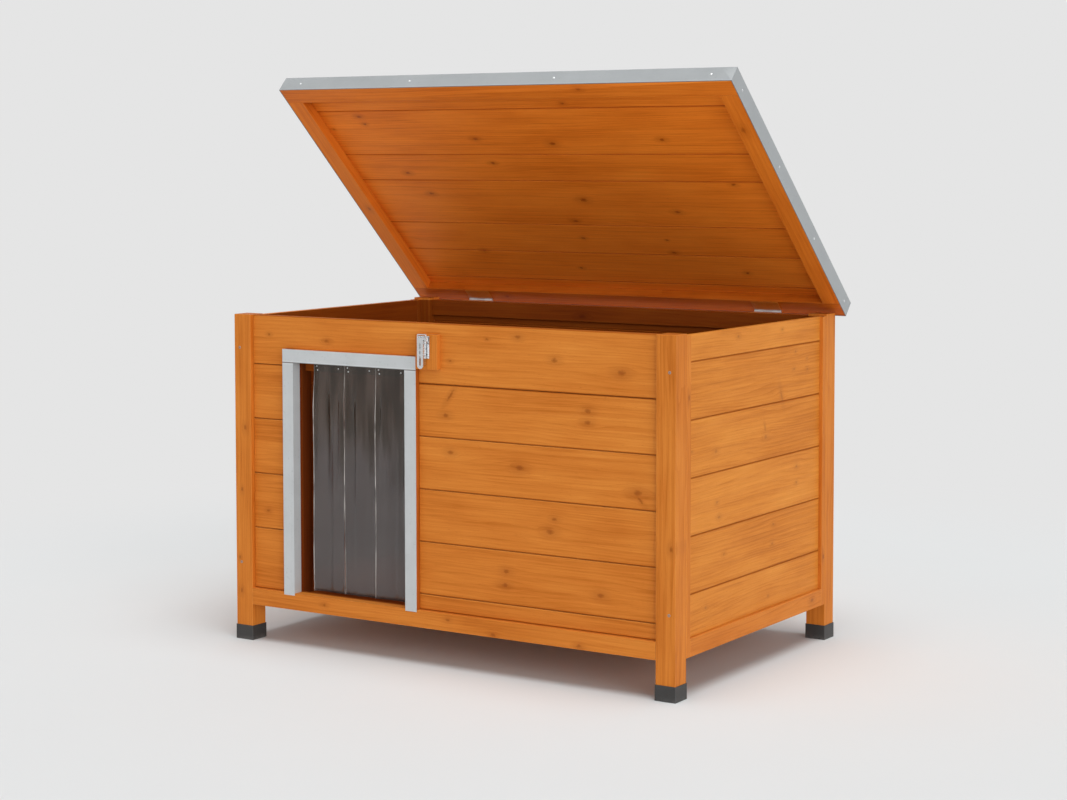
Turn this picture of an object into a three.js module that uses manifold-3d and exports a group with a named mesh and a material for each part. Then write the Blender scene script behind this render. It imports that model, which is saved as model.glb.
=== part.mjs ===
// A wooden dog house on four legs: boarded walls between corner posts, a door opening with a metal
// edge and a curtain of clear strips, and a flat roof hinged along the back, standing open.
// Millimetres. X runs along the front, -Y is the front, +Z is up.
import * as THREE from 'three';
import { mergeVertices } from 'three/addons/utils/BufferGeometryUtils.js';
import Module from 'manifold-3d';

const wasm = await Module();
wasm.setup();

// ---- driving dimensions -------------------------------------------------------------------------

// whole body
const BODY_WIDTH = 1000;
const BODY_DEPTH = 650;
const POST_TOP = 650;
const LEG = 40;
const FIT = 0.3; // gap between pieces that touch

// feet
const CAP_WALL = 1;
const CAP_HEIGHT = 29;
const CAP_FLOOR = 3;

// bottom rails and floor
const RAIL_LOW = 72;
const RAIL_HEIGHT = 33;
const RAIL_DEPTH = 30;
const LEDGE_DEPTH = 10;
const FLOOR_THICKNESS = 12;
const FLOOR_BELOW_RAIL = 5;

// wall boards
const BOARD = 12;
const JOINT_GAP = 1;
const CHAMFER = 1;
const TONGUE = 4;
const TONGUE_LENGTH = 5;
const TONGUE_END_GAP = 1;
const V_DEPTH = 2;
const V_HALF = 1.5;
const FRONT_RECESS = 10;
const SIDE_RECESS = 7;
const FRONT_WALL_DROP = 0.5; // wall tops below the post tops
const SIDE_WALL_DROP = 4;
const SIDE_TOP_COURSE = 48;
const SIDE_LAST_COURSE = 77;
const SIDE_COURSES = 4;
const STILE_WIDTH = 15;
const STILE_DEPTH = 20;
const REAR_RAIL_HEIGHT = 33;

// front courses, measured below the front wall's top
const LEFT_TOP_COURSE = 97;
const LEFT_COURSES = 4;
const LEFT_LAST_COURSE = 12;
const RIGHT_TOP_COURSE = 115;
const RIGHT_COURSES = 4;
const RIGHT_LAST_COURSE = 30;

// door
const DOOR_OFFSET = 122; // body's left face to the door frame
const DOOR_OPENING = 268;
const DOOR_HEAD_DROP = 64; // post tops to the door frame's top
const TRIM_FACE = 26;
const TRIM_RETURN = 20;
const TRIM = 1;
const TRIM_OVER_RAIL = 4;
const JAMB_DEPTH = 28;

// curtain
const STRIP_COUNT = 3;
const STRIP_GAP = 1;
const CURTAIN_SIDE_GAP = 22; // doorway's edge to the outer strips
const STRIP_THICKNESS = 2;
const CURTAIN_BEHIND_SILL = 8;
const CURTAIN_PIVOT_DROP = 20; // door opening's top to the line the strips bend at
const HEADER_RISE = 35;
const STRIP_OVER_SILL = 3;

// roof
const ROOF_SIDE_OVERHANG = 18;
const ROOF_FRONT_OVERHANG = 8;
const ROOF_REAR_OVERHANG = 12;
const ROOF_REST_GAP = 0.5;
const ROOF_RAIL_WIDTH = 37;
const ROOF_RAIL_DEPTH = 20;
const ROOF_BOARD = 10;
const ROOF_BOARD_WIDTHS = [59, 92, 89, 135, 78, 131]; // from the hinge side, then the rest
const FELT = 2;
const EDGE_TRIM = 1;
const EDGE_FLANGE = 25;
const ROOF_OPEN_DEGREES = 42.5;

// hinges
const HINGE_INSET = 150; // body's end to the hinge's middle
const HINGE_LENGTH = 60;
const HINGE_LEAF = 1.2;
const HINGE_LEAF_DEPTH = 25;
const KNUCKLE_RADIUS = 2.5;
const KNUCKLE_CLEARANCE = 0.25; // barrel to the rail under it and to the shut roof
const PIN_RADIUS = 1.2;
const MIDDLE_KNUCKLE = 20;

// latch
const BLOCK_WIDTH = 50;
const BLOCK_HEIGHT = 66;
const BLOCK_DROP = 21;
const BLOCK_THICKNESS = 11.7;
const BASE_PLATE = 1.2;
const BASE_HEIGHT = 42;
const BASE_LEFT = 12; // from the latch's centre line
const BASE_RIGHT = 13;
const BASE_TOP_DROP = 3;
const LATCH_FROM_BLOCK_LEFT = 20;
const LEVER_PIN_OUT = 5.5;
const LEVER_PIN_DROP = 9;
const LEVER_HALF = 7;
const LEVER_SHEET = 1.2;
const LEVER_DEPTH = 9;
const LEVER_LENGTH = 55;
const LEVER_TOP = 3;
const LEVER_BACK = 3.4; // cheeks' back edges behind the pin
const LEVER_PIN_RADIUS = 1.5;
const LEVER_SLOT = 3.2;
const LEVER_SLOTS = [[-1, 17], [20, 27], [30, 41]]; // ends above the tip's centre
const EAR_RADIUS = 4;
const EAR_SHEET = 1.2;
const LOOP_BELOW_PIN = 8;
const LOOP_HEIGHT = 17;
const LOOP_WIRE = 1.1;
const LOOP_BEND = 3;

// ---- sizes that follow --------------------------------------------------------------------------

const X = BODY_WIDTH / 2;
const Y = BODY_DEPTH / 2;
const RAIL_TOP = RAIL_LOW + RAIL_HEIGHT;
const FLOOR_TOP = RAIL_TOP - FLOOR_BELOW_RAIL;
const FRONT_TOP = POST_TOP - FRONT_WALL_DROP;
const SIDE_TOP = POST_TOP - SIDE_WALL_DROP;
const ROOF_UNDERSIDE = POST_TOP + ROOF_REST_GAP;
const REAR_TOP = ROOF_UNDERSIDE - 2 * (KNUCKLE_RADIUS + KNUCKLE_CLEARANCE);
const WALL_BOTTOM = RAIL_TOP + FIT;
const POST_X = X - LEG; // posts' inner faces
const POST_Y = Y - LEG;

const DOOR_X0 = -X + DOOR_OFFSET;
const OPEN_X0 = DOOR_X0 + TRIM_FACE;
const OPEN_X1 = OPEN_X0 + DOOR_OPENING;
const DOOR_X1 = OPEN_X1 + TRIM_FACE;
const DOOR_TOP = POST_TOP - DOOR_HEAD_DROP;
const OPEN_TOP = DOOR_TOP - TRIM_FACE;

const HINGE_Y = Y + KNUCKLE_RADIUS + FIT;
const HINGE_Z = (REAR_TOP + ROOF_UNDERSIDE) / 2;

// ---- materials ----------------------------------------------------------------------------------

function material(color, roughness, metalness, extra = {}) {
  return new THREE.MeshStandardMaterial({ color, roughness, metalness, ...extra });
}

const finishes = {
  wood: () => material(0xc87a34, 0.6, 0),
  woodInside: () => material(0xb26a2c, 0.65, 0),
  trim: () => material(0xb9bec2, 0.4, 0.6),
  plastic: () => material(0x3a3a3a, 0.6, 0),
  steel: () => material(0xc4c6c8, 0.35, 1),
  felt: () => material(0x34383a, 0.95, 0),
  clear: () => material(0x8a8480, 0.15, 0, { transparent: true, opacity: 0.45 }),
};

// ---- helpers ------------------------------------------------------------------------------------

const house = new THREE.Group();
const roof = new THREE.Group();

function addMesh(parent, name, geometry, finish) {
  const mesh = new THREE.Mesh(geometry, finishes[finish]());
  mesh.name = name;
  parent.add(mesh);
  return mesh;
}

// a box from its lowest to its highest corner
function block([x0, y0, z0], [x1, y1, z1]) {
  const geometry = new THREE.BoxGeometry(x1 - x0, y1 - y0, z1 - z0);
  return geometry.translate((x0 + x1) / 2, (y0 + y1) / 2, (z0 + z1) / 2);
}

function outline(points) {
  return new THREE.Shape(points.map(([u, v]) => new THREE.Vector2(u, v)));
}

const AXIS_X = new THREE.Vector3(1, 0, 0);
const AXIS_Y = new THREE.Vector3(0, 1, 0);
const AXIS_Z = new THREE.Vector3(0, 0, 1);

function inOrder(a, b) {
  return a < b ? [a, b] : [b, a];
}

// an outline in (y, z), run from x0 to x1
function alongX(shape, x0, x1) {
  const geometry = new THREE.ExtrudeGeometry(shape, { depth: x1 - x0, bevelEnabled: false });
  geometry.applyMatrix4(new THREE.Matrix4().makeBasis(AXIS_Y, AXIS_Z, AXIS_X));
  return geometry.translate(x0, 0, 0);
}

// an outline in (x, z), run from y0 to y1
function alongY(shape, y0, y1, curveSegments = 12) {
  const options = { depth: y1 - y0, bevelEnabled: false, curveSegments };
  const geometry = new THREE.ExtrudeGeometry(shape, options);
  const minusY = AXIS_Y.clone().negate();
  geometry.applyMatrix4(new THREE.Matrix4().makeBasis(AXIS_X, AXIS_Z, minusY));
  return geometry.translate(0, y1, 0);
}

// an outline in (x, y), run from z0 to z1
function alongZ(shape, z0, z1) {
  const geometry = new THREE.ExtrudeGeometry(shape, { depth: z1 - z0, bevelEnabled: false });
  return geometry.translate(0, 0, z0);
}

// a round bar along X
function rod(radius, x0, x1, y, z, sides = 20) {
  const geometry = new THREE.CylinderGeometry(radius, radius, x1 - x0, sides);
  return geometry.rotateZ(-Math.PI / 2).translate((x0 + x1) / 2, y, z);
}

function solid(geometry) {
  const bare = geometry.clone();
  bare.deleteAttribute('normal');
  bare.deleteAttribute('uv');
  const merged = mergeVertices(bare, 1e-4);
  const mesh = new wasm.Mesh({
    numProp: 3,
    vertProperties: new Float32Array(merged.attributes.position.array),
    triVerts: new Uint32Array(merged.index.array),
  });
  return new wasm.Manifold(mesh);
}

function toGeometry(manifold) {
  const mesh = manifold.getMesh();
  const geometry = new THREE.BufferGeometry();
  geometry.setAttribute('position', new THREE.BufferAttribute(mesh.vertProperties, 3));
  geometry.setIndex(new THREE.BufferAttribute(mesh.triVerts, 1));
  geometry.computeVertexNormals();
  return geometry;
}

function join(...geometries) {
  return toGeometry(geometries.map(solid).reduce((sum, piece) => sum.add(piece)));
}

function cut(geometry, ...tools) {
  return toGeometry(tools.map(solid).reduce((rest, tool) => rest.subtract(tool), solid(geometry)));
}

// ---- posts and feet -----------------------------------------------------------------------------

function buildLegs() {
  const corners = [
    ['front_left', -1, -1],
    ['front_right', 1, -1],
    ['rear_left', -1, 1],
    ['rear_right', 1, 1],
  ];
  const half = LEG / 2;
  for (const [corner, sideX, sideY] of corners) {
    const x = sideX * (X - half);
    const y = sideY * (Y - half);
    const postBottom = CAP_FLOOR + FIT;
    const post = block([x - half, y - half, postBottom], [x + half, y + half, POST_TOP]);
    addMesh(house, `leg_${corner}`, post, 'wood');
    const pocket = half + FIT;
    const outer = pocket + CAP_WALL;
    const cup = block([x - outer, y - outer, 0], [x + outer, y + outer, CAP_HEIGHT]);
    const hollow = block([x - pocket, y - pocket, CAP_FLOOR], [x + pocket, y + pocket, CAP_HEIGHT + 1]);
    addMesh(house, `foot_cap_${corner}`, cut(cup, hollow), 'plastic');
  }
}

// ---- bottom rails and floor ---------------------------------------------------------------------

// the long rails carry the floor on a ledge along their inner edge
function longRailOutline(side) {
  const outer = side * Y;
  const inner = side * (Y - RAIL_DEPTH);
  const ledge = side * (Y - RAIL_DEPTH - LEDGE_DEPTH);
  const ledgeTop = FLOOR_TOP - FLOOR_THICKNESS - FIT;
  return outline([
    [outer, RAIL_LOW],
    [outer, RAIL_TOP],
    [inner, RAIL_TOP],
    [inner, ledgeTop],
    [ledge, ledgeTop],
    [ledge, RAIL_LOW],
  ]);
}

function buildBase() {
  const railX = POST_X - FIT;
  addMesh(house, 'front_bottom_rail', alongX(longRailOutline(-1), -railX, railX), 'wood');
  addMesh(house, 'rear_bottom_rail', alongX(longRailOutline(1), -railX, railX), 'wood');
  const railY = POST_Y - STILE_WIDTH - FIT;
  const sideRail = (x0, x1) => block([x0, -railY, RAIL_LOW], [x1, railY, RAIL_TOP]);
  addMesh(house, 'left_bottom_rail', sideRail(-X, -X + RAIL_DEPTH), 'wood');
  addMesh(house, 'right_bottom_rail', sideRail(X - RAIL_DEPTH, X), 'wood');

  // the floor is notched round the posts
  const edgeX = X - RAIL_DEPTH - FIT;
  const edgeY = Y - RAIL_DEPTH - FIT;
  const notchX = POST_X - FIT;
  const notchY = POST_Y - FIT;
  const floor = outline([
    [-notchX, -edgeY],
    [notchX, -edgeY],
    [notchX, -notchY],
    [edgeX, -notchY],
    [edgeX, notchY],
    [notchX, notchY],
    [notchX, edgeY],
    [-notchX, edgeY],
    [-notchX, notchY],
    [-edgeX, notchY],
    [-edgeX, -notchY],
    [-notchX, -notchY],
  ]);
  addMesh(house, 'floor_panel', alongZ(floor, FLOOR_TOP - FLOOR_THICKNESS, FLOOR_TOP), 'woodInside');
}

// ---- wall boards --------------------------------------------------------------------------------

// heights of the joints between courses, from the top course's lower edge to the bottom rail
function courseLines(top, count, last) {
  const pitch = (top - RAIL_TOP - last) / count;
  const lines = [];
  for (let i = 0; i <= count; i += 1) lines.push(top - i * pitch);
  lines.push(RAIL_TOP);
  return lines;
}

// one tongued and grooved board of the front wall, in (y, z)
function boardOutline(low, high, tongued, grooved) {
  const face = -Y + FRONT_RECESS;
  const back = face + BOARD;
  const middle = (face + back) / 2;
  const z0 = low + JOINT_GAP / 2;
  const z1 = high - JOINT_GAP / 2;
  const points = [
    [face, z0 + CHAMFER],
    [face, z1 - CHAMFER],
    [face + CHAMFER, z1],
  ];
  if (tongued) {
    const tip = z1 + JOINT_GAP + TONGUE_LENGTH;
    points.push([middle - TONGUE / 2, z1], [middle - TONGUE / 2, tip]);
    points.push([middle + TONGUE / 2, tip], [middle + TONGUE / 2, z1]);
  }
  points.push([back, z1], [back, z0]);
  if (grooved) {
    const half = TONGUE / 2 + FIT;
    const bottom = z0 + TONGUE_LENGTH + TONGUE_END_GAP;
    points.push([middle + half, z0], [middle + half, bottom]);
    points.push([middle - half, bottom], [middle - half, z0]);
  }
  points.push([face + CHAMFER, z0]);
  return outline(points);
}

// a stack of front boards from x0 to x1; the boards over and under the tongued ones stay plain
function addFrontBoards(prefix, x0, x1, lines, last) {
  for (let i = 0; i < last; i += 1) {
    const low = i === last - 1 ? RAIL_TOP : lines[i + 1];
    const tongued = i > 0;
    const grooved = i < last - 1;
    const shape = boardOutline(low, lines[i], tongued, grooved);
    addMesh(house, `${prefix}_${i + 1}`, alongX(shape, x0 + FIT, x1 - FIT), 'wood');
  }
}

function buildFrontWall() {
  const leftLine = FRONT_TOP - LEFT_TOP_COURSE + FRONT_WALL_DROP;
  const rightLine = FRONT_TOP - RIGHT_TOP_COURSE + FRONT_WALL_DROP;
  const x0 = -POST_X + FIT;
  const x1 = POST_X - FIT;
  const face = -Y + FRONT_RECESS;
  const topBoard = outline([
    [x0, FRONT_TOP],
    [x0, leftLine + JOINT_GAP / 2],
    [DOOR_X0 - FIT, leftLine + JOINT_GAP / 2],
    [DOOR_X0 - FIT, DOOR_TOP + FIT],
    [DOOR_X1 + FIT, DOOR_TOP + FIT],
    [DOOR_X1 + FIT, rightLine + JOINT_GAP / 2],
    [x1, rightLine + JOINT_GAP / 2],
    [x1, FRONT_TOP],
  ]);
  addMesh(house, 'front_top_board', alongY(topBoard, face, face + BOARD), 'wood');
  const leftLines = courseLines(leftLine, LEFT_COURSES, LEFT_LAST_COURSE);
  addFrontBoards('front_left_board', -POST_X, DOOR_X0, leftLines, LEFT_COURSES);
  const rightLines = courseLines(rightLine, RIGHT_COURSES, RIGHT_LAST_COURSE);
  addFrontBoards('front_right_board', DOOR_X1, POST_X, rightLines, RIGHT_COURSES + 1);
}

// a wall of joined boards with a V at each joint on both faces, as (across, z)
function panelOutline(outer, inner, bottom, top, lines) {
  const into = Math.sign(inner - outer);
  const points = [[outer, bottom]];
  const inside = lines.filter((line) => line - V_HALF > bottom && line + V_HALF < top);
  for (const line of [...inside].reverse()) {
    const bottomOfV = [outer + into * V_DEPTH, line];
    points.push([outer, line - V_HALF], bottomOfV, [outer, line + V_HALF]);
  }
  points.push([outer, top], [inner, top]);
  for (const line of inside) {
    const bottomOfV = [inner - into * V_DEPTH, line];
    points.push([inner, line + V_HALF], bottomOfV, [inner, line - V_HALF]);
  }
  points.push([inner, bottom]);
  return outline(points);
}

function buildSideAndRearWalls() {
  const lines = courseLines(SIDE_TOP - SIDE_TOP_COURSE, SIDE_COURSES, SIDE_LAST_COURSE);
  const face = X - SIDE_RECESS;
  const boardY = POST_Y - STILE_WIDTH - FIT;
  const rightShape = panelOutline(face, face - BOARD, WALL_BOTTOM, SIDE_TOP, lines);
  addMesh(house, 'right_wall_boards', alongY(rightShape, -boardY, boardY), 'wood');
  const stile = (x0, x1, side) => {
    const [y0, y1] = inOrder(side * (POST_Y - STILE_WIDTH), side * (POST_Y - FIT));
    return block([x0, y0, RAIL_LOW], [x1, y1, SIDE_TOP]);
  };
  addMesh(house, 'right_stile_front', stile(X - STILE_DEPTH, X, -1), 'wood');
  addMesh(house, 'right_stile_rear', stile(X - STILE_DEPTH, X, 1), 'wood');

  // the left wall's stiles and boards are one glued panel
  const leftShape = panelOutline(-face, -face + BOARD, WALL_BOTTOM, SIDE_TOP, lines);
  const overlap = boardY + 2 * FIT;
  const leftWall = join(
    alongY(leftShape, -overlap, overlap),
    stile(-X, -X + STILE_DEPTH, -1),
    stile(-X, -X + STILE_DEPTH, 1),
  );
  addMesh(house, 'left_wall_panel', leftWall, 'wood');

  const rearRailLow = REAR_TOP - REAR_RAIL_HEIGHT;
  const rearX = POST_X - FIT;
  const rearRail = block([-rearX, Y - RAIL_DEPTH, rearRailLow], [rearX, Y, REAR_TOP]);
  addMesh(house, 'rear_top_rail', rearRail, 'wood');
  const rearFace = Y - FRONT_RECESS;
  const rearTop = rearRailLow - FIT;
  const rearShape = panelOutline(rearFace, rearFace - BOARD, WALL_BOTTOM, rearTop, lines);
  addMesh(house, 'rear_wall_boards', alongX(rearShape, -rearX, rearX), 'wood');
}

// ---- door ---------------------------------------------------------------------------------------

// one upright metal edge: a face over the stile and a return into the opening
function uprightTrim(openingX, side) {
  const out = -Y - FIT;
  const [face0, face1] = inOrder(openingX, openingX + side * TRIM_FACE);
  const [return0, return1] = inOrder(openingX, openingX + side * TRIM);
  const top = OPEN_TOP - FIT;
  const face = block([face0, out - TRIM, RAIL_TOP - TRIM_OVER_RAIL], [face1, out, top]);
  const inner = block([return0, out - TRIM, WALL_BOTTOM], [return1, -Y + TRIM_RETURN, top]);
  return join(face, inner);
}

function buildDoor() {
  const front = -Y;
  const back = -Y + RAIL_DEPTH;
  const woodX0 = OPEN_X0 - TRIM - FIT;
  const woodX1 = OPEN_X1 + TRIM + FIT;
  const leftStile = block([DOOR_X0, front, WALL_BOTTOM], [woodX0, back, DOOR_TOP]);
  const rightStile = block([woodX1, front, WALL_BOTTOM], [DOOR_X1, back, DOOR_TOP]);
  addMesh(house, 'door_stile_left', leftStile, 'wood');
  addMesh(house, 'door_stile_right', rightStile, 'wood');
  const headLow = OPEN_TOP + TRIM + FIT;
  const head = block([woodX0 + FIT, front, headLow], [woodX1 - FIT, back, DOOR_TOP]);
  addMesh(house, 'door_head_rail', head, 'wood');

  addMesh(house, 'door_trim_left', uprightTrim(OPEN_X0, -1), 'trim');
  addMesh(house, 'door_trim_right', uprightTrim(OPEN_X1, 1), 'trim');
  const out = -Y - FIT;
  const topFace = block([DOOR_X0, out - TRIM, OPEN_TOP], [DOOR_X1, out, DOOR_TOP]);
  const topReturn = block(
    [OPEN_X0 - TRIM, out - TRIM, OPEN_TOP],
    [OPEN_X1 + TRIM, -Y + TRIM_RETURN, OPEN_TOP + TRIM],
  );
  addMesh(house, 'door_trim_top', join(topFace, topReturn), 'trim');

  const jambBottom = FLOOR_TOP + FIT;
  const jambFront = back + FIT;
  const jambTop = OPEN_TOP - CURTAIN_PIVOT_DROP + HEADER_RISE;
  const jambBack = jambFront + JAMB_DEPTH;
  const leftJamb = block([DOOR_X0, jambFront, jambBottom], [woodX0, jambBack, jambTop]);
  const rightJamb = block([woodX1, jambFront, jambBottom], [DOOR_X1, jambBack, jambTop]);
  addMesh(house, 'inner_jamb_left', leftJamb, 'woodInside');
  addMesh(house, 'inner_jamb_right', rightJamb, 'woodInside');
  return { woodX0, woodX1, back, jambTop, jambBack };
}

// ---- curtain ------------------------------------------------------------------------------------

function buildCurtain(door) {
  const plane = door.back + CURTAIN_BEHIND_SILL; // middle of the strips
  const half = STRIP_THICKNESS / 2;
  const pivotZ = OPEN_TOP - CURTAIN_PIVOT_DROP;
  const x0 = OPEN_X0 + CURTAIN_SIDE_GAP;
  const x1 = OPEN_X1 - CURTAIN_SIDE_GAP;
  const stripWidth = (x1 - x0 - (STRIP_COUNT - 1) * STRIP_GAP) / STRIP_COUNT;
  const headerLow = pivotZ + half + FIT;
  const battenFront = plane + half + FIT;
  const batten = block(
    [door.woodX0 + FIT, battenFront, headerLow],
    [door.woodX1 - FIT, door.jambBack, door.jambTop],
  );
  addMesh(house, 'curtain_batten', batten, 'woodInside');
  const header = block([x0, plane - half, headerLow], [x1, plane + half, door.jambTop]);
  addMesh(house, 'curtain_header', header, 'clear');

  // each strip's top is rounded about the line it swings on
  const strip = new THREE.Shape();
  const bottom = RAIL_TOP + STRIP_OVER_SILL;
  strip.moveTo(plane - half, bottom);
  strip.lineTo(plane + half, bottom);
  strip.lineTo(plane + half, pivotZ);
  strip.absarc(plane, pivotZ, half, 0, Math.PI, false);
  strip.lineTo(plane - half, bottom);
  for (let i = 0; i < STRIP_COUNT; i += 1) {
    const left = x0 + i * (stripWidth + STRIP_GAP);
    addMesh(house, `curtain_strip_${i + 1}`, alongX(strip, left, left + stripWidth), 'clear');
  }
}

// ---- roof, drawn shut ---------------------------------------------------------------------------

function buildRoof() {
  const outX = X + ROOF_SIDE_OVERHANG;
  const outFront = -Y - ROOF_FRONT_OVERHANG;
  const outRear = Y + ROOF_REAR_OVERHANG;
  const woodX = outX - EDGE_TRIM - FIT;
  const woodFront = outFront + EDGE_TRIM + FIT;
  const woodRear = outRear - EDGE_TRIM - FIT;
  const z0 = ROOF_UNDERSIDE;
  const z1 = z0 + ROOF_RAIL_DEPTH;
  const innerFront = woodFront + ROOF_RAIL_WIDTH;
  const innerRear = woodRear - ROOF_RAIL_WIDTH;
  const rail = (low, high) => block([...low, z0], [...high, z1]);
  addMesh(roof, 'roof_rail_front', rail([-woodX, woodFront], [woodX, innerFront]), 'wood');
  addMesh(roof, 'roof_rail_rear', rail([-woodX, innerRear], [woodX, woodRear]), 'wood');
  const sideY0 = innerFront + FIT;
  const sideY1 = innerRear - FIT;
  const sideX = woodX - ROOF_RAIL_WIDTH;
  addMesh(roof, 'roof_rail_left', rail([-woodX, sideY0], [-sideX, sideY1]), 'wood');
  addMesh(roof, 'roof_rail_right', rail([sideX, sideY0], [woodX, sideY1]), 'wood');

  // boards over the frame, with a V at each joint on the underside
  const boardLow = z1 + FIT;
  const boardHigh = boardLow + ROOF_BOARD;
  const points = [[woodRear, boardLow]];
  let joint = outRear;
  for (const width of ROOF_BOARD_WIDTHS) {
    joint -= width;
    const bottomOfV = [joint, boardLow + V_DEPTH];
    const fits = joint - V_HALF > woodFront;
    if (fits) points.push([joint + V_HALF, boardLow], bottomOfV, [joint - V_HALF, boardLow]);
  }
  points.push([woodFront, boardLow], [woodFront, boardHigh], [woodRear, boardHigh]);
  addMesh(roof, 'roof_boards', alongX(outline(points), -woodX, woodX), 'wood');

  const feltLow = boardHigh + FIT;
  const feltHigh = feltLow + FELT;
  const felt = block([-woodX, woodFront, feltLow], [woodX, woodRear, feltHigh]);
  addMesh(roof, 'roof_felt', felt, 'felt');

  // metal angles round the edge; the front and rear ones run the full width
  const trimLow = z0 - FIT / 2;
  const flangeLow = feltHigh + FIT;
  const trimHigh = flangeLow + EDGE_TRIM;
  const crossTrim = (outer, into) => {
    const [face0, face1] = inOrder(outer, outer + into * EDGE_TRIM);
    const [flange0, flange1] = inOrder(outer, outer + into * EDGE_FLANGE);
    return join(
      block([-outX, face0, trimLow], [outX, face1, trimHigh]),
      block([-outX, flange0, flangeLow], [outX, flange1, trimHigh]),
    );
  };
  addMesh(roof, 'roof_trim_front', crossTrim(outFront, 1), 'trim');
  addMesh(roof, 'roof_trim_rear', crossTrim(outRear, -1), 'trim');
  const sideTrim = (side) => {
    const [face0, face1] = inOrder(side * outX, side * (outX - EDGE_TRIM));
    const [flange0, flange1] = inOrder(side * outX, side * (outX - EDGE_FLANGE));
    const flangeY0 = outFront + EDGE_FLANGE + FIT;
    const flangeY1 = outRear - EDGE_FLANGE - FIT;
    return join(
      block([face0, woodFront, trimLow], [face1, woodRear, flangeLow - FIT]),
      block([face0, flangeY0, trimLow], [face1, flangeY1, trimHigh]),
      block([flange0, flangeY0, flangeLow], [flange1, flangeY1, trimHigh]),
    );
  };
  addMesh(roof, 'roof_trim_left', sideTrim(-1), 'trim');
  addMesh(roof, 'roof_trim_right', sideTrim(1), 'trim');
}

// ---- hinges -------------------------------------------------------------------------------------

// one leaf: a plate beside the barrel, tabs under or over it, and its knuckles
function hingeLeaf(middleX, plateLow, knuckles) {
  const plateHigh = plateLow + HINGE_LEAF;
  const barrelFront = HINGE_Y - KNUCKLE_RADIUS - FIT;
  const plateFront = barrelFront - HINGE_LEAF_DEPTH;
  const half = HINGE_LENGTH / 2;
  const plate = block([middleX - half, plateFront, plateLow], [middleX + half, barrelFront, plateHigh]);
  const pieces = [plate];
  for (const [x0, x1] of knuckles) {
    pieces.push(block([middleX + x0, plateFront, plateLow], [middleX + x1, HINGE_Y, plateHigh]));
    pieces.push(rod(KNUCKLE_RADIUS, middleX + x0, middleX + x1, HINGE_Y, HINGE_Z));
  }
  return join(...pieces);
}

function buildHinges() {
  const half = HINGE_LENGTH / 2;
  const outerStart = MIDDLE_KNUCKLE / 2;
  const middleHalf = outerStart - FIT;
  const places = [
    ['left', -X + HINGE_INSET],
    ['right', X - HINGE_INSET],
  ];
  for (const [side, x] of places) {
    const bodyPlate = REAR_TOP + FIT;
    const bodyLeaf = hingeLeaf(x, bodyPlate, [[-middleHalf, middleHalf]]);
    const bore = rod(PIN_RADIUS + FIT, x - half, x + half, HINGE_Y, HINGE_Z);
    addMesh(house, `hinge_leaf_body_${side}`, cut(bodyLeaf, bore), 'steel');
    const roofPlate = ROOF_UNDERSIDE - FIT - HINGE_LEAF;
    const roofLeaf = hingeLeaf(x, roofPlate, [[-half, -outerStart], [outerStart, half]]);
    const pin = rod(PIN_RADIUS, x - half, x + half, HINGE_Y, HINGE_Z);
    addMesh(roof, `hinge_leaf_roof_${side}`, join(roofLeaf, pin), 'steel');
  }
}

// ---- latch --------------------------------------------------------------------------------------

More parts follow.
